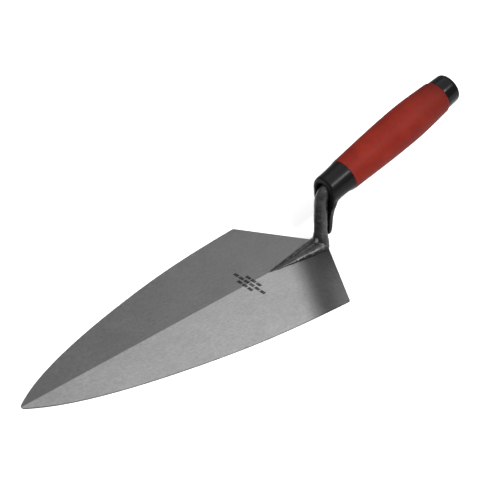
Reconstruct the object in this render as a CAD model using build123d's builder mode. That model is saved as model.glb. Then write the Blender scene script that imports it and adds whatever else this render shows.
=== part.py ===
from build123d import *
import os
from math import cos, radians, sin, tan

os.makedirs("parts", exist_ok=True)

# Brick trowel, all sizes in millimetres.
# +X runs from the shank towards the point of the blade, +Z is up, and z = 0 is the flat sole.

# Blade
blade_length = 279.4
blade_width = 136.2
heel_x = -10.0
heel_depth = 39.5
heel_corner_r = 2.0
point_r = 3.0
ridge_at_heel = 2.2
ridge_at_point = 1.2
facet_fall = 0.016

# Forged shank
neck_lean = 3.0
neck_r = 5.6
foot_x = heel_x + 6.2
bend_r = 11.0
lift_length = 64.5
lift_half_width = 10.6
lift_height = 9.0
tang_end = 95.0
tang_end_r = 2.6

# Handle, measured along its own axis from the point above the heel of the blade
handle_tilt = 15.6
axis_height = 48.4
collar_end = 21.6
grip_end = 128.8
cap_end = 142.8
core_r = 8.4
core_start = 9.0
core_end = 136.0
cap_rim_r = 1.8

# Finger guard, heights above the sole and distances forward of the heel of the blade
foot_clearance = 0.3
hood_front = 2.0
slot_back = 0.8
arch_top = 56.0
arch_r = 7.2
lip_r = 2.2
lip_z = 10.2

tip_x = heel_x + blade_length
half_width = blade_width / 2
axis_dir = (-cos(radians(handle_tilt)), 0, sin(radians(handle_tilt)))
axis_start = (heel_x, 0, axis_height)
handle_axis = Axis(axis_start, axis_dir)
# Half-section plane of the handle: local x runs along the axis, local y is the radius
handle_section = Plane(origin=axis_start, x_dir=axis_dir, z_dir=(0, 1, 0))

# The neck line and the handle axis cross at this corner, which the bend rounds off
corner_z = (axis_height - tan(radians(handle_tilt)) * (foot_x - heel_x)) / (
    1 - tan(radians(handle_tilt)) * tan(radians(neck_lean))
)
corner_x = foot_x - corner_z * tan(radians(neck_lean))


def along_handle(s):
    """Point on the handle axis."""
    return (heel_x + s * axis_dir[0], 0, axis_height + s * axis_dir[2])


def along_neck(height):
    """Point on the centre line of the neck."""
    return (foot_x - height * tan(radians(neck_lean)), 0, height)


def tilted(centre, tilt):
    """Plane across the shank or handle, its normal leaning back from vertical by tilt degrees."""
    lean = radians(tilt)
    return Plane(origin=centre, x_dir=(cos(lean), 0, sin(lean)), z_dir=(-sin(lean), 0, cos(lean)))


# Blade: Philadelphia outline, two facets ground down from a straight centre ridge
with BuildPart() as blade:
    with BuildSketch(Plane.XY):
        with BuildLine():
            point_start = (tip_x - 0.413 * point_r, 0.81 * point_r)
            Line((heel_x, 0), (heel_x + heel_depth, half_width))
            Spline(
                (heel_x + heel_depth, half_width),
                (heel_x + 80, 64.3),
                (heel_x + 120, 58.5),
                (heel_x + 160, 49.9),
                (heel_x + 200, 39.0),
                (heel_x + 240, 24.6),
                (heel_x + 260, 14.75),
                point_start,
            )
            ThreePointArc(point_start, (tip_x - 0.2 * point_r, 0.6 * point_r), (tip_x, 0))
            mirror(about=Plane.XZ)
        make_face()
    extrude(amount=6)
    heel_corners = blade.edges().filter_by(Axis.Z).group_by(Axis.Y)
    fillet([heel_corners[0][0], heel_corners[-1][0]], radius=heel_corner_r)
    with BuildSketch(Plane(origin=(heel_x, 0, ridge_at_heel), x_dir=(0, 1, 0), z_dir=(1, 0, 0))):
        with BuildLine():
            edge_drop = -80 * facet_fall
            Polyline((0, 0), (80, edge_drop), (80, 12), (-80, 12), (-80, edge_drop), close=True)
        make_face()
    extrude(
        amount=blade_length + 20,
        dir=(blade_length, 0, ridge_at_point - ridge_at_heel),
        mode=Mode.SUBTRACT,
    )

# Shank: lift wedge lying on the ridge, round neck, bend, and tapered tang inside the handle
with BuildPart() as shank:
    # Foot of the neck flares out where it meets the blade
    for height, along, across in (
        (-1.0, 7.6, 7.9),
        (4.5, 6.9, 7.2),
        (11.0, 6.0, 6.1),
        (20.0, neck_r, neck_r),
    ):
        with BuildSketch(tilted(along_neck(height), neck_lean)):
            Ellipse(along, across)
    loft()
    with BuildLine() as neck_line:
        FilletPolyline(along_neck(20), (corner_x, 0, corner_z), along_handle(8), radius=bend_r)
    with BuildSketch(tilted(along_neck(20), neck_lean)):
        Circle(neck_r)
    sweep(path=neck_line.wires()[0])
    with BuildSketch(handle_section):
        with BuildLine():
            Polyline((8, 0), (8, neck_r), (13, 5.0), (tang_end - 3, tang_end_r))
            Polyline((tang_end - 3, tang_end_r), (tang_end, 1.2), (tang_end, 0), (8, 0))
        make_face()
    revolve(axis=handle_axis)
    # Lift: low triangular sections shrinking towards the point of the blade
    for x, wide, high in (
        (6.8, lift_half_width, lift_height),
        (20.0, 8.5, 7.3),
        (36.0, 5.6, 5.0),
        (52.0, 2.8, 3.1),
        (lift_length, 0.5, 2.1),
    ):
        with BuildSketch(Plane(origin=(heel_x + x, 0, 0), x_dir=(0, 1, 0), z_dir=(1, 0, 0))):
            with BuildLine():
                crown = 0.52 * wide
                crown_z = high - 0.16 * (high - 1.7)
                Polyline((-wide, 1.7), (-wide, 0.5), (wide, 0.5), (wide, 1.7))
                Spline((wide, 1.7), (crown, crown_z), (0, high), (-crown, crown_z), (-wide, 1.7))
            make_face()
    loft()
    # The forging is cut back to the blade it lies on
    add(blade.part, mode=Mode.SUBTRACT)
    split(bisect_by=Plane.XY.offset(foot_clearance), keep=Keep.TOP)
    # Loose slivers beside the heel edges are dropped
    add(shank.solids().sort_by(SortBy.VOLUME)[-1], mode=Mode.REPLACE)

# Handle core: hard moulding round the tang, running from the collar into the end cap
with BuildPart() as handle_core:
    with BuildSketch(handle_section):
        with BuildLine():
            Polyline((core_start, 0), (core_start, core_r), (core_end, core_r), (core_end, 0), close=True)
        make_face()
    revolve(axis=handle_axis)
    chamfer(handle_core.edges().filter_by(GeomType.CIRCLE), length=0.8)
    add(shank.part, mode=Mode.SUBTRACT)

# Strip of the finger guard: down the back of the neck from the collar, narrowing to a rounded lip
with BuildPart() as guard_strip:
    with BuildSketch(Plane.XZ):
        with BuildLine():
            Polyline(
                (heel_x - 3.6, lip_z),
                (heel_x + hood_front, lip_z),
                (heel_x + hood_front, 50),
                (heel_x - 12, 50),
                (heel_x - 12, 42),
            )
            Spline(
                (heel_x - 12, 42),
                (heel_x - 6.6, 37),
                (heel_x - 5.1, 29),
                (heel_x - 4.8, 19),
                (heel_x - 3.6, lip_z),
            )
        make_face()
    extrude(amount=15, both=True)
    with BuildSketch(Plane.YZ.offset(heel_x - 20)):
        with BuildLine():
            Line((0, lip_z), (3.8, lip_z))
            Spline((3.8, lip_z), (4.7, 14), (5.4, 22), (7.0, 30), (10.2, 37), (11.3, 45))
            Polyline((11.3, 45), (11.3, 51), (0, 51))
            mirror(about=Plane.YZ)
        make_face()
    extrude(amount=30, mode=Mode.INTERSECT)
    # Long back corners, then the lip, then the two front edges
    side_edges = guard_strip.edges().filter_by(lambda e: abs(e.center().Y) > 3)
    fillet(side_edges.filter_by(lambda e: e.center().X < heel_x - 4.5), radius=3.4)
    bottom_edges = guard_strip.edges().filter_by(lambda e: e.center().Z < lip_z + 0.1)
    fillet(bottom_edges.filter_by(lambda e: e.center().X < heel_x), radius=lip_r)
    front_edges = guard_strip.faces().sort_by(Axis.X)[-1].edges()
    fillet(front_edges.filter_by(lambda e: abs(e.center().Y) > 3), radius=1.8)
    # The top of the strip is rounded in plan so that it stays under the collar
    with BuildSketch(Plane.XY):
        with Locations((heel_x + 2, 0)):
            Ellipse(13.2, 11.2)
    extrude(amount=60, mode=Mode.INTERSECT)

# Finger guard: collar with an arched front opening round the neck, and its strip
with BuildPart() as finger_guard:
    with BuildSketch(handle_section):
        with BuildLine():
            Line((-9, 0), (-9, 11.9))
            Spline((-9, 11.9), (3.5, 12.1), (12, 12.35), (collar_end, 13.44), tangents=((1, 0), (1, 0.2)))
            Line((collar_end, 13.44), (collar_end, 0))
            Line((collar_end, 0), (-9, 0))
        make_face()
    revolve(axis=handle_axis)
    split(bisect_by=Plane(origin=(heel_x + hood_front, 0, 0), z_dir=(1, 0, 0)), keep=Keep.BOTTOM)
    fillet(finger_guard.faces().sort_by(Axis.X)[-1].edges(), radius=2.6)
    add(guard_strip.part)
    # Arched opening, open to the front and down to the lip
    with BuildSketch(Plane(origin=(heel_x + slot_back, 0, 0), x_dir=(0, 1, 0), z_dir=(1, 0, 0))):
        with Locations((0, arch_top - arch_r)):
            Circle(arch_r)
        with Locations((0, (arch_top - arch_r) / 2)):
            Rectangle(2 * arch_r, arch_top - arch_r)
    extrude(amount=20, mode=Mode.SUBTRACT)
    # Clear space round the bend of the neck
    with BuildLine() as bend_line:
        FilletPolyline(along_neck(40.5), (corner_x, 0, corner_z), along_handle(6), radius=bend_r - 4)
    with BuildSketch(tilted(along_neck(40.5), neck_lean)):
        Circle(arch_r)
    sweep(path=bend_line.wires()[0], mode=Mode.SUBTRACT)
    add(shank.part, mode=Mode.SUBTRACT)
    add(handle_core.part, mode=Mode.SUBTRACT)

# Grip: soft barrel-shaped sleeve over the core, small chamfer at the cap
with BuildPart() as grip_sleeve:
    with BuildSketch(handle_section):
        with BuildLine():
            Line((collar_end, core_r), (collar_end, 13.44))
            Spline(
                (collar_end, 13.44),
                (42, 14.37),
                (68, 15.45),
                (90, 15.85),
                (113, 14.98),
                (126.6, 14.13),
                tangents=((1, 0.05), (1, -0.06)),
            )
            Polyline((126.6, 14.13), (grip_end, 13.3), (grip_end, core_r), (collar_end, core_r))
        make_face()
    revolve(axis=handle_axis)

# End cap: slightly tapered, rounded rim, blind bore over the end of the core
with BuildPart() as end_cap:
    with BuildSketch(handle_section):
        with BuildLine():
            Polyline((grip_end, 0), (grip_end, 13.2), (135.8, 12.85), (cap_end, 12.4))
            Polyline((cap_end, 12.4), (cap_end + 0.5, 0), (grip_end, 0))
        make_face()
    revolve(axis=handle_axis)
    fillet(end_cap.edges().filter_by(GeomType.CIRCLE).sort_by(Axis.Z)[-1], radius=cap_rim_r)
    add(handle_core.part, mode=Mode.SUBTRACT)

blade.part.label = "blade"
shank.part.label = "shank"
handle_core.part.label = "handle_core"
finger_guard.part.label = "finger_guard"
grip_sleeve.part.label = "grip_sleeve"
end_cap.part.label = "end_cap"

export_step(blade.part, "parts/blade.step")
export_step(shank.part, "parts/shank.step")
export_step(handle_core.part, "parts/handle_core.step")
export_step(finger_guard.part, "parts/finger_guard.step")
export_step(grip_sleeve.part, "parts/grip_sleeve.step")
export_step(end_cap.part, "parts/end_cap.step")
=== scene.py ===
"""Brick trowel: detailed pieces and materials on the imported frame. Metres, same frame as the CAD."""

import math

import bmesh
import bpy
from mathutils import Matrix, Vector, noise


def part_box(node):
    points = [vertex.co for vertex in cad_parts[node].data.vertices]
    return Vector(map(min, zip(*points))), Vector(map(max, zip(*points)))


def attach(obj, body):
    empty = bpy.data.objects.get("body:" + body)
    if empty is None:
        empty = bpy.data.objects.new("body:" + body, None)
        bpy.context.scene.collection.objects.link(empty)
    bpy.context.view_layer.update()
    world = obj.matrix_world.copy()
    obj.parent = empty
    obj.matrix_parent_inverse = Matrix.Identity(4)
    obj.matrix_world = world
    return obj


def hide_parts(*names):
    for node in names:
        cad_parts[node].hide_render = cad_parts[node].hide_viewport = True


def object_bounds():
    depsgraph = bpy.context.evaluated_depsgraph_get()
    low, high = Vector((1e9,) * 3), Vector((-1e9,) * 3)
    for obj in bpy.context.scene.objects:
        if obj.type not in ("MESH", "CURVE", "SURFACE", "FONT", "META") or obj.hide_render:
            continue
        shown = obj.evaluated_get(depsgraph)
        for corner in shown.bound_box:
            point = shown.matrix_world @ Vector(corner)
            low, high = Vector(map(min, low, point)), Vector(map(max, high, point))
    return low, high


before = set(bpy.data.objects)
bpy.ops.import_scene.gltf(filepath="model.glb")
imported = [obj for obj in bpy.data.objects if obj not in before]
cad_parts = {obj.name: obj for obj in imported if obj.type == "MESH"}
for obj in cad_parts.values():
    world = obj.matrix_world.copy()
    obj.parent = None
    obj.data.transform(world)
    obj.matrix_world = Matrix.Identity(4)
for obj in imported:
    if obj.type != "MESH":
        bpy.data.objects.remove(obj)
cad_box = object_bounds()

MM = 0.001
low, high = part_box("blade")
HEEL_X = low[0]
TIP_X = high[0]
HALF_WIDTH = high[1]
RIDGE_Z = high[2]
HEEL_DEPTH = 39.5 * MM

# The handle's axis rises from a point above the heel of the blade
HANDLE_TILT = math.radians(15.6)
AXIS = Vector((-math.cos(HANDLE_TILT), 0, math.sin(HANDLE_TILT)))
AXIS_UP = Vector((math.sin(HANDLE_TILT), 0, math.cos(HANDLE_TILT)))
AXIS_START = Vector((HEEL_X, 0, 48.4 * MM))

# Places along the handle's axis, and the radius of the core, in mm
COLLAR_END = 21.6
GRIP_END = 128.8
CORE_R = 8.45
RING = AXIS_START + AXIS * (COLLAR_END * MM)


# ---------------------------------------------------------------- materials


class Nodes:
    """Small helper that adds nodes to one material and links them."""

    def __init__(self, name):
        self.material = bpy.data.materials.new(name)
        self.material.use_nodes = True
        self.tree = self.material.node_tree
        self.shader = self.tree.nodes["Principled BSDF"]
        self.position = self.add("ShaderNodeTexCoord").outputs["Object"]
        split = self.add("ShaderNodeSeparateXYZ")
        self.link(self.position, split.inputs[0])
        self.x, self.y, self.z = split.outputs

    def add(self, kind, **settings):
        node = self.tree.nodes.new(kind)
        for key, value in settings.items():
            setattr(node, key, value)
        return node

    def link(self, source, target):
        self.tree.links.new(source, target)

    def put(self, socket, value):
        if hasattr(value, "is_output"):
            self.link(value, socket)
        else:
            socket.default_value = value

    def scaled(self, x, y, z):
        node = self.add("ShaderNodeMapping")
        node.inputs["Scale"].default_value = (x, y, z)
        self.link(self.position, node.inputs["Vector"])
        return node.outputs["Vector"]

    def noise(self, scale, detail=3.0, rough=0.55, vector=None):
        node = self.add("ShaderNodeTexNoise")
        node.inputs["Scale"].default_value = scale
        node.inputs["Detail"].default_value = detail
        node.inputs["Roughness"].default_value = rough
        self.link(vector or self.position, node.inputs["Vector"])
        return node.outputs["Fac"]

    def span(self, value, a, b, c, d, smooth=False):
        """Maps value from a..b to c..d."""
        node = self.add("ShaderNodeMapRange", interpolation_type="SMOOTHSTEP" if smooth else "LINEAR")
        self.put(node.inputs["Value"], value)
        for key, number in (("From Min", a), ("From Max", b), ("To Min", c), ("To Max", d)):
            node.inputs[key].default_value = number
        return node.outputs["Result"]

    def math(self, operation, a, b=0.0):
        node = self.add("ShaderNodeMath", operation=operation)
        self.put(node.inputs[0], a)
        self.put(node.inputs[1], b)
        return node.outputs[0]

    def product(self, first, *others):
        for value in others:
            first = self.math("MULTIPLY", first, value)
        return first

    def distance(self, a, b):
        """How far apart two numbers are."""
        return self.math("ABSOLUTE", self.math("SUBTRACT", a, b))

    def mix(self, factor, a, b):
        node = self.add("ShaderNodeMix", data_type="RGBA")
        self.put(node.inputs[0], factor)
        self.put(node.inputs[6], a)
        self.put(node.inputs[7], b)
        return node.outputs[2]

    def tint(self, color, factor):
        """Multiplies a colour by a grey factor."""
        node = self.add("ShaderNodeVectorMath", operation="SCALE")
        self.put(node.inputs[0], color)
        self.put(node.inputs["Scale"], factor)
        return node.outputs[0]

    def bump(self, height, strength, distance, below=None):
        node = self.add("ShaderNodeBump")
        node.inputs["Strength"].default_value = strength
        node.inputs["Distance"].default_value = distance
        self.link(height, node.inputs["Height"])
        if below:
            self.link(below, node.inputs["Normal"])
        return node.outputs["Normal"]

    def finish(self, color, roughness, normal=None, **fixed):
        self.put(self.shader.inputs["Base Color"], color)
        self.put(self.shader.inputs["Roughness"], roughness)
        if normal:
            self.link(normal, self.shader.inputs["Normal"])
        for key, value in fixed.items():
            self.shader.inputs[key.replace("_", " ")].default_value = value
        return self.material


def grey(value):
    return (value, value, value, 1.0)


def painted_facet_light(m):
    """Grey level of the two facets, painted light and shade: the right one painted dark, the left one
    painted light but with a painted dark reflection near its heel edge.
    """
    near = m.span(m.y, -0.25 * MM, 0.25 * MM, 0.0, 1.0, smooth=True)

    # Distance in from the two straight heel edges
    edge_angle = math.atan2(HALF_WIDTH, HEEL_DEPTH)
    across = m.math("MULTIPLY", m.math("SUBTRACT", m.x, HEEL_X), math.sin(edge_angle))
    sideways = m.math("MULTIPLY", m.math("ABSOLUTE", m.y), math.cos(edge_angle))
    heel_in = m.math("SUBTRACT", across, sideways)

    # Left facet: painted light fading from heel to tip, a painted dark reflection of the handle near the
    # heel, and a painted highlight that lightens it again at the heel edge itself, most of all out at the
    # corner
    along = m.span(m.x, HEEL_X + 60 * MM, TIP_X, 1.0, 0.74)
    heel_shade = m.span(heel_in, 18 * MM, 38 * MM, 0.24, 1.0, smooth=True)
    painted_corner_highlight = m.span(heel_in, 0.0, 16 * MM, 0.10, 0.0, smooth=True)
    painted_corner_highlight = m.product(painted_corner_highlight, m.span(m.y, 10 * MM, HALF_WIDTH, 0.8, 2.2))
    painted_bright_facet = m.product(along, m.math("ADD", heel_shade, painted_corner_highlight), 0.415)
    # Right facet: painted shade, a little darker towards the tip
    painted_dark_facet = m.span(m.x, HEEL_X + 20 * MM, TIP_X, 0.222, 0.148)
    far = m.math("SUBTRACT", 1.0, near)
    level = m.math("ADD", m.product(near, painted_bright_facet), m.product(far, painted_dark_facet))
    clouds = m.span(m.noise(26, 3), 0.3, 0.7, 0.94, 1.05)
    return m.product(level, clouds)


def brick_mark(m):
    """1 on the bricks of the etched mark, 0 off them: three courses, the middle one six bricks long."""
    course_pitch, brick_pitch = 4.2 * MM, 6.2 * MM
    middle_bricks, outer_bricks = 6, 3
    course = m.math("DIVIDE", m.math("SUBTRACT", m.x, HEEL_X + 73 * MM), course_pitch)
    row = m.math("FLOOR", course)
    middle_row = m.math("COMPARE", row, 1.0)
    shift = m.product(m.math("SUBTRACT", 1.0, middle_row), 0.5)
    place = m.math("ADD", m.math("DIVIDE", m.y, brick_pitch), shift)
    reach = m.span(middle_row, 0.0, 1.0, outer_bricks / 2, middle_bricks / 2)
    in_brick = m.math("LESS_THAN", m.distance(m.math("FRACT", place), 0.5), 0.41)
    in_course = m.math("LESS_THAN", m.distance(m.math("FRACT", course), 0.5), 0.33)
    in_row = m.math("LESS_THAN", m.distance(place, shift), reach)
    in_mark = m.math("LESS_THAN", m.distance(row, 1.0), 1.5)
    return m.product(in_brick, in_course, in_row, in_mark)


def ground_steel():
    """Taper-ground blade: painted light and shade on its two facets, a painted dark reflection at the
    heel, and an etched mark.
    """
    m = Nodes("ground_steel")

    # Grain: fine mottle of the grinding belt and long faint scratches
    mottle = m.noise(520, 4, 0.7)
    streaks = m.noise(1.0, 3, 0.6, m.scaled(90, 1500, 900))
    # Painted light and shade of the two facets, broken up by the grain
    level = m.product(painted_facet_light(m), m.span(mottle, 0.25, 0.75, 0.84, 1.16))
    level = m.product(level, m.span(streaks, 0.3, 0.7, 0.93, 1.07))

    etched = m.product(brick_mark(m), m.span(mottle, 0.35, 0.6, 0.55, 0.95))
    level = m.product(level, m.math("SUBTRACT", 1.0, etched))

    # Painted shade: upright faces, such as the sheared edges, are painted darker than the ground faces
    geometry = m.add("ShaderNodeNewGeometry")
    facing = m.add("ShaderNodeSeparateXYZ")
    m.link(geometry.outputs["True Normal"], facing.inputs[0])
    painted_edge_shade = m.span(m.math("ABSOLUTE", facing.outputs["Z"]), 0.35, 0.9, 0.30, 1.0, smooth=True)
    color = m.tint((1.0, 1.0, 1.005), m.product(level, painted_edge_shade))

    rough = m.span(mottle, 0.3, 0.7, 0.38, 0.48)
    fine = m.bump(mottle, 0.10, 0.05 * MM)
    normal = m.bump(streaks, 0.08, 0.04 * MM, fine)
    return m.finish(color, rough, normal, Metallic=1.0)


def crest_highlight_and_wear(m):
    """1 along two crests that run down the top of the lift, drawing together towards its point: a painted
    highlight on the crests, broken into patches like rubbed lacquer.
    """
    reach = m.span(m.x, HEEL_X + 6 * MM, HEEL_X + 52 * MM, 1.0, 0.2)
    crest_light = 0.0
    for offset in (2.0 * MM, -3.4 * MM):
        away = m.distance(m.y, m.product(reach, offset))
        crest_light = m.math("ADD", crest_light, m.span(away, 0.3 * MM, 1.3 * MM, 1.0, 0.0, smooth=True))
    past_neck = m.span(m.x, HEEL_X + 8 * MM, HEEL_X + 14 * MM, 0.0, 1.0)
    before_point = m.span(m.x, HEEL_X + 34 * MM, HEEL_X + 54 * MM, 1.0, 0.0)
    low_down = m.span(m.z, 10 * MM, 12 * MM, 1.0, 0.0)
    patches = m.span(m.noise(420, 3, 0.6), 0.38, 0.62, 0.0, 1.0)
    return m.product(crest_light, past_neck, before_point, low_down, patches)


def black_lacquer():
    """Black lacquer over a hammered forging: uneven sheen, thin grey where it has rubbed, painted
    highlights along the lift's crests and a painted sheen up the neck.
    """
    m = Nodes("black_lacquer")
    lumps = m.noise(210, 4, 0.6)
    grain = m.noise(1400, 3, 0.6)
    rubbed = m.span(m.noise(340, 5, 0.7), 0.58, 0.74, 0.0, 1.0, smooth=True)
    color = m.mix(m.product(rubbed, 0.7), (0.009, 0.009, 0.0095, 1), (0.075, 0.075, 0.077, 1))
    # Painted highlight along the lift's two crests, in patches like rubbed lacquer
    color = m.mix(m.product(crest_highlight_and_wear(m), 0.7), color, (0.060, 0.060, 0.062, 1))
    # Painted sheen: the lacquer is painted lighter the higher it is, so the neck above the lift is lighter
    painted_neck_sheen = m.span(m.z, 9 * MM, 15 * MM, 0.7, 1.9)
    color = m.tint(color, m.product(m.span(lumps, 0.3, 0.7, 0.6, 1.4), painted_neck_sheen))

    # A small pale grey spot where the neck meets the lift
    spot = m.add("ShaderNodeVectorMath", operation="DISTANCE")
    m.link(m.position, spot.inputs[0])
    spot.inputs[1].default_value = (HEEL_X + 12 * MM, 2.0 * MM, 10 * MM)
    pale_spot = m.math("ADD", spot.outputs["Value"], m.product(lumps, 0.9 * MM))
    pale_spot = m.span(pale_spot, 1.6 * MM, 2.5 * MM, 1.0, 0.0, smooth=True)
    color = m.mix(m.product(pale_spot, 0.7), color, (0.22, 0.22, 0.22, 1))

    rough = m.span(lumps, 0.3, 0.7, 0.24, 0.42)
    small = m.bump(grain, 0.3, 0.05 * MM)
    normal = m.bump(lumps, 0.6, 0.45 * MM, small)
    return m.finish(color, rough, normal, Specular_IOR_Level=0.30)


def moulded_black(name, base, rough_low, rough_high, scuffs):
    """Black moulded plastic with a fine mould texture and faint handling marks."""
    m = Nodes(name)
    texture = m.noise(2600, 2, 0.5)
    sheen = m.noise(70, 3, 0.5)
    marks = m.span(m.noise(1.0, 4, 0.6, m.scaled(260, 900, 420)), 0.62, 0.78, 0.0, 1.0, smooth=True)
    color = m.mix(m.product(marks, scuffs), grey(base), grey(base * 3.2))
    rough = m.span(sheen, 0.3, 0.7, rough_low, rough_high)
    normal = m.bump(texture, 0.12, 0.03 * MM)
    return m.finish(color, rough, normal, Specular_IOR_Level=0.085)


def red_grip():
    """Soft red moulding: matte, finely pebbled, with painted shade making it darker towards the cap."""
    m = Nodes("red_grip")
    pebble = m.add("ShaderNodeTexVoronoi", feature="SMOOTH_F1")
    pebble.inputs["Scale"].default_value = 900
    m.link(m.position, pebble.inputs["Vector"])
    cells = pebble.outputs["Distance"]
    mottle = m.noise(240, 4, 0.65)
    clouds = m.span(m.noise(34, 3, 0.5), 0.35, 0.65, 0.0, 1.0, smooth=True)
    color = m.mix(clouds, (0.112, 0.0066, 0.0032, 1), (0.140, 0.0100, 0.0046, 1))
    # Painted shade: the red is painted darker towards the cap
    painted_shade_to_cap = m.span(m.x, HEEL_X - 125 * MM, HEEL_X - 60 * MM, 0.62, 1.0, smooth=True)
    color = m.tint(color, m.product(painted_shade_to_cap, m.span(mottle, 0.3, 0.7, 0.86, 1.14)))
    rough = m.span(mottle, 0.3, 0.7, 0.56, 0.70)
    soft = m.bump(cells, 0.22, 0.12 * MM)
    normal = m.bump(mottle, 0.18, 0.15 * MM, soft)
    return m.finish(color, rough, normal, Specular_IOR_Level=0.09)


# ---------------------------------------------------------------- pieces


def new_object(name, mesh, material, node):
    """Adds a mesh as a piece on the root body, standing for the CAD node named."""
    obj = bpy.data.objects.new(name, mesh)
    bpy.context.scene.collection.objects.link(obj)
    mesh.materials.clear()
    mesh.materials.append(material)
    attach(obj, "root")
    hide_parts(node)


def ramp(value, start, end):
    """0 at start, 1 at end, straight between them and level past them."""
    return max(0.0, min(1.0, (value - start) / (end - start)))


def smooth_shade(mesh, angle=None):
    for polygon in mesh.polygons:
        polygon.use_smooth = True
    if angle:
        mesh.set_sharp_from_angle(angle=math.radians(angle))


def remeshed(node, voxel, shift=None):
    """A copy of a CAD node's mesh rebuilt as even quads, ready to be softened."""
    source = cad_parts[node]
    mesh = source.data.copy()
    if shift:
        for vertex in mesh.vertices:
            vertex.co = shift(vertex.co)
    scratch = bpy.data.objects.new("scratch", mesh)
    bpy.context.scene.collection.objects.link(scratch)
    modifier = scratch.modifiers.new("even", "REMESH")
    modifier.mode = "VOXEL"
    modifier.voxel_size = voxel
    graph = bpy.context.evaluated_depsgraph_get()
    result = bpy.data.meshes.new_from_object(scratch.evaluated_get(graph))
    bpy.data.objects.remove(scratch)
    return result


def soften(mesh, rounds, weight=0.5, where=None):
    """Pulls each vertex towards its neighbours, all over or only as much as where(co) says."""
    neighbours = [[] for _ in mesh.vertices]
    for edge in mesh.edges:
        a, b = edge.vertices
        neighbours[a].append(b)
        neighbours[b].append(a)
    points = [v.co.copy() for v in mesh.vertices]
    strength = [weight * (where(p) if where else 1.0) for p in points]
    active = [i for i, s in enumerate(strength) if s > 0.001 and neighbours[i]]
    for _ in range(rounds):
        moved = {}
        for i in active:
            middle = Vector((0, 0, 0))
            for j in neighbours[i]:
                middle += points[j]
            middle /= len(neighbours[i])
            moved[i] = points[i].lerp(middle, strength[i])
        for i, point in moved.items():
            points[i] = point
    for vertex, point in zip(mesh.vertices, points):
        vertex.co = point


def keep_inside(mesh, node):
    """Keeps every vertex within the CAD node's own box."""
    lowest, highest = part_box(node)
    for vertex in mesh.vertices:
        vertex.co = Vector(min(max(c, a), b) for c, a, b in zip(vertex.co, lowest, highest))


def turned(name, profile, segments=144):
    """Profile points (s, r), in mm along and out from the handle's axis, turned round it."""
    side = Vector((0, 1, 0))
    bm = bmesh.new()
    rings = []
    for s, r in profile:
        centre = AXIS_START + AXIS * (s * MM)
        if r <= 0:
            rings.append([bm.verts.new(centre)])
            continue
        ring = []
        for k in range(segments):
            angle = 2 * math.pi * k / segments
            outward = AXIS_UP * math.cos(angle) + side * math.sin(angle)
            ring.append(bm.verts.new(centre + outward * (r * MM)))
        rings.append(ring)
    for a, b in zip(rings, rings[1:]):
        for k in range(segments):
            n = (k + 1) % segments
            if len(a) == 1:
                bm.faces.new((a[0], b[k], b[n]))
            elif len(b) == 1:
                bm.faces.new((a[k], b[0], a[n]))
            else:
                bm.faces.new((a[k], b[k], b[n], a[n]))
    bmesh.ops.recalc_face_normals(bm, faces=bm.faces)
    mesh = bpy.data.meshes.new(name)
    bm.to_mesh(mesh)
    bm.free()
    return mesh


def curve_through(points, steps):
    """Smooth interpolation of (s, r) points, steps between each pair."""
    out = []
    for i in range(len(points) - 1):
        p0 = points[max(i - 1, 0)]
        p1, p2 = points[i], points[i + 1]
        p3 = points[min(i + 2, len(points) - 1)]
        for k in range(steps):
            t = k / steps
            slope = (p2[1] - p0[1]) * t
            bend = (2 * p0[1] - 5 * p1[1] + 4 * p2[1] - p3[1]) * t ** 2
            twist = (3 * p1[1] - p0[1] - 3 * p2[1] + p3[1]) * t ** 3
            out.append((p1[0] + (p2[0] - p1[0]) * t, p1[1] + (slope + bend + twist) / 2))
    out.append(points[-1])
    return out


def rounded(corner, start, end, radius, steps=6):
    """Points rounding a corner between the directions of start and end."""
    c = Vector(corner)
    a = (Vector(start) - c).normalized()
    b = (Vector(end) - c).normalized()
    out = []
    for k in range(steps + 1):
        t = k / steps
        p, q = c + a * radius * (1 - t), c + b * radius * t
        point = p.lerp(q, t)
        out.append((point.x, point.y))
    return out


# Blade: the CAD shape, its edges just broken
steel = ground_steel()
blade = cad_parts["blade"]
for place in blade.material_slots:
    place.material = steel
edges = blade.modifiers.new("broken_edges", "BEVEL")
edges.width = 0.14 * MM
edges.segments = 2
edges.limit_method = "ANGLE"
edges.angle_limit = math.radians(30)

# Shank: forging with soft corners, flared into the lift, and hammer marks
FOOT = Vector((HEEL_X + 5 * MM, 0, 6 * MM))


def seat(co):
    """Sinks the underside of the lift a little into the blade so that no gap shows."""
    co = co.copy()
    if co.z < RIDGE_Z + 0.2 * MM and HEEL_X - 3 * MM < co.x:
        co.z = max(co.z - 0.9 * MM, 0.3 * MM)
    return co


def near_foot(p):
    return ramp((p - FOOT).length, 14.4 * MM, 5.4 * MM)


shank_mesh = remeshed("shank", 0.45 * MM, seat)
soften(shank_mesh, 3, 0.5)
soften(shank_mesh, 22, 0.5, near_foot)
shank_mesh.update()
marks = []
heel_mm = HEEL_X / MM
for vertex in shank_mesh.vertices:
    p = vertex.co / MM
    dent = noise.noise(p * 0.22) * 0.16 + noise.noise(p * 0.55 + Vector((7, 3, 1))) * 0.10
    # A shallow hollow runs along the top of the lift, between the two crests that carry the painted
    # highlight
    hollow = 0.0
    if vertex.normal.z > 0.3:
        along = ramp(p.x, heel_mm + 12, heel_mm + 18) * ramp(p.x, heel_mm + 55, heel_mm + 30)
        hollow = -0.55 * math.exp(-((p.y + 0.7) / 1.3) ** 2) * along
    marks.append(vertex.normal * ((dent + hollow - 0.10) * MM))
for vertex, mark in zip(shank_mesh.vertices, marks):
    vertex.co += mark
keep_inside(shank_mesh, "shank")
smooth_shade(shank_mesh)
new_object("forged_shank", shank_mesh, black_lacquer(), "shank")

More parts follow.
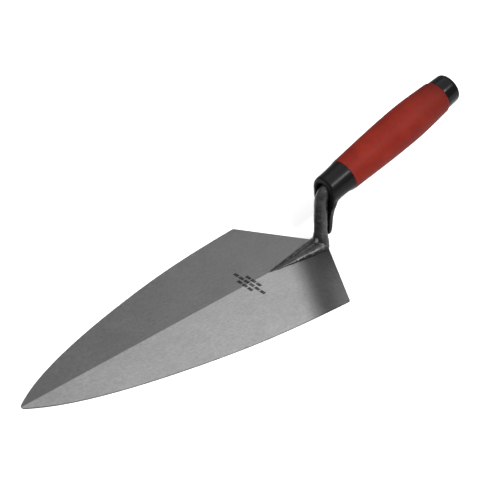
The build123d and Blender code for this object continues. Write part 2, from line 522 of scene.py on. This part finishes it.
# Finger guard: one soft-cornered moulding, its finger curve blended into the collar
# Height above the sole and furthest reach of the strip's back corners there, mm
WAIST = [(0, 8.2), (24, 7.4), (31, 6.8), (35.5, 7.2), (38.5, 8.1), (41, 9.9), (43, 12.0), (46, 18)]
BACK_AND_OUT = (0.77, 0.636)


def finger_curve(p):
    """1 where the back of the strip runs up into the underside of the collar."""
    behind = ramp(p.x, HEEL_X - 3 * MM, HEEL_X - 6 * MM)
    under = ramp(p.z, 47 * MM, 42 * MM)
    clear = ramp((RING - p).dot(AXIS), 0, 5 * MM)
    return behind * under * clear


def off_ring(p):
    """1 away from the joint with the grip, 0 at it, so that the joint stays crisp."""
    return ramp((RING - p).dot(AXIS), 0, 1.5 * MM)


def waist(co):
    """Draws in the back corners where the strip runs up into the collar."""
    z = co.z / MM
    if z >= WAIST[-1][0] or co.x > HEEL_X - 0.5 * MM or (RING - co).dot(AXIS) < 4 * MM:
        return co
    back, out = BACK_AND_OUT
    reach = (back * (HEEL_X - co.x) + out * abs(co.y)) / MM
    for (z0, r0), (z1, r1) in zip(WAIST, WAIST[1:]):
        if z0 <= z < z1:
            over = max(0.0, reach - r0 - (r1 - r0) * (z - z0) / (z1 - z0)) * MM
            return co + Vector((back * over, math.copysign(out * over, -co.y), 0))
    return co


guard_mesh = remeshed("finger_guard", 0.42 * MM)
for vertex in guard_mesh.vertices:
    vertex.co = waist(vertex.co)
soften(guard_mesh, 5, 0.5, off_ring)
soften(guard_mesh, 60, 0.5, finger_curve)
keep_inside(guard_mesh, "finger_guard")
smooth_shade(guard_mesh, 50)
guard_black = moulded_black("guard_black", 0.004, 0.24, 0.32, 0.30)
new_object("finger_guard_moulding", guard_mesh, guard_black, "finger_guard")

# Grip: turned barrel with softly broken ends
barrel = [(22.6, 13.46), (33, 13.86), (42, 14.37), (52, 14.85), (68, 15.45), (79, 15.7)]
barrel += [(90, 15.85), (101, 15.62), (113, 14.98), (120, 14.5), (126.0, 14.15)]
profile = [(COLLAR_END, CORE_R), (COLLAR_END, 13.1)]
profile += rounded((COLLAR_END, 13.42), (COLLAR_END, 13.0), barrel[0], 0.35)
profile += curve_through(barrel, 5)
profile += rounded((126.9, 14.1), barrel[-1], (GRIP_END, 13.3), 0.6)
profile += [(128.3, 13.42)]
profile += rounded((GRIP_END, 13.25), (128.3, 13.42), (GRIP_END, 12.8), 0.3)
profile += [(GRIP_END, CORE_R), (100, CORE_R), (60, CORE_R), (COLLAR_END, CORE_R)]
grip_mesh = turned("grip", profile)
smooth_shade(grip_mesh, 40)
new_object("soft_grip", grip_mesh, red_grip(), "grip_sleeve")

# End cap: tapered, rounded rim and a barely domed end
cap_start = GRIP_END + 0.05
profile = [(cap_start, CORE_R), (cap_start, 12.7)]
profile += rounded((cap_start, 13.15), (cap_start, 12.7), (132, 13.0), 0.35)
profile += [(132, 13.02), (135.8, 12.85), (139, 12.68)]
profile += rounded((142.75, 12.42), (139, 12.68), (142.9, 10), 2.3, 10)
profile += [(142.9, 9), (143.1, 5), (143.2, 2), (143.22, 0)]
cap_mesh = turned("cap", profile)
smooth_shade(cap_mesh, 40)
cap_black = moulded_black("cap_black", 0.003, 0.16, 0.24, 0.25)
new_object("end_cap_moulding", cap_mesh, cap_black, "end_cap")

# Handle core, unseen inside the grip
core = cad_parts["handle_core"]
core_black = moulded_black("core_plastic", 0.05, 0.5, 0.6, 0.1)
for place in core.material_slots:
    place.material = core_black

# ---------------------------------------------------------------- floor, lights and camera

floor_nodes = Nodes("studio_floor")
floor_tone = floor_nodes.span(floor_nodes.noise(3.0, 2), 0.3, 0.7, 0.985, 1.0)
floor_color = floor_nodes.tint((0.92, 0.92, 0.92), floor_tone)
floor_material = floor_nodes.finish(floor_color, 0.85)
bm = bmesh.new()
bmesh.ops.create_grid(bm, x_segments=8, y_segments=8, size=6.0)
floor_mesh = bpy.data.meshes.new("floor")
bm.to_mesh(floor_mesh)
bm.free()
floor_mesh.materials.append(floor_material)
floor = bpy.data.objects.new("floor", floor_mesh)
floor.location.z = cad_box[0][2]
bpy.context.scene.collection.objects.link(floor)

world = bpy.data.worlds.new("studio")
world.use_nodes = True
world.node_tree.nodes["Background"].inputs["Color"].default_value = (1.0, 1.0, 1.0, 1.0)
world.node_tree.nodes["Background"].inputs["Strength"].default_value = 0.42
bpy.context.scene.world = world


def area_light(name, place, target, size, power):
    data = bpy.data.lights.new(name, "AREA")
    data.shape = "RECTANGLE"
    data.size, data.size_y = size
    data.energy = power
    light = bpy.data.objects.new(name, data)
    light.location = place
    light.rotation_euler = (Vector(target) - Vector(place)).to_track_quat("-Z", "Y").to_euler()
    bpy.context.scene.collection.objects.link(light)


middle = (Vector(cad_box[0]) + Vector(cad_box[1])) / 2
area_light("key", middle + Vector((0.1, 0.0, 1.7)), middle, (2.6, 2.6), 38)
# A long narrow light over the handle's left side gives the streak along the black mouldings
collar = AXIS_START + AXIS * (12 * MM)
area_light("strip", collar + Vector((-0.17, 0.80, 0.88)), collar, (0.9, 0.19), 17)

camera_data = bpy.data.cameras.new("camera")
camera_data.lens = 90
camera_data.sensor_width = 36
camera_data.clip_end = 50
camera = bpy.data.objects.new("camera", camera_data)
# The camera stands beyond the point on the left, looks down at the trowel and is rolled a little clockwise
azimuth, elevation, roll = math.radians(52.8144), math.radians(33.6608), math.radians(4.3703)
heading = Matrix.Rotation(azimuth + math.pi / 2, 4, "Z")
tip_down = Matrix.Rotation(math.pi / 2 - elevation, 4, "X")
place = Matrix.Translation((HEEL_X + 527.90 * MM, 583.93 * MM, 532.04 * MM))
camera.matrix_world = place @ heading @ tip_down @ Matrix.Rotation(-roll, 4, "Z")
bpy.context.scene.collection.objects.link(camera)
bpy.context.scene.camera = camera
bpy.context.scene.view_settings.view_transform = "Standard"
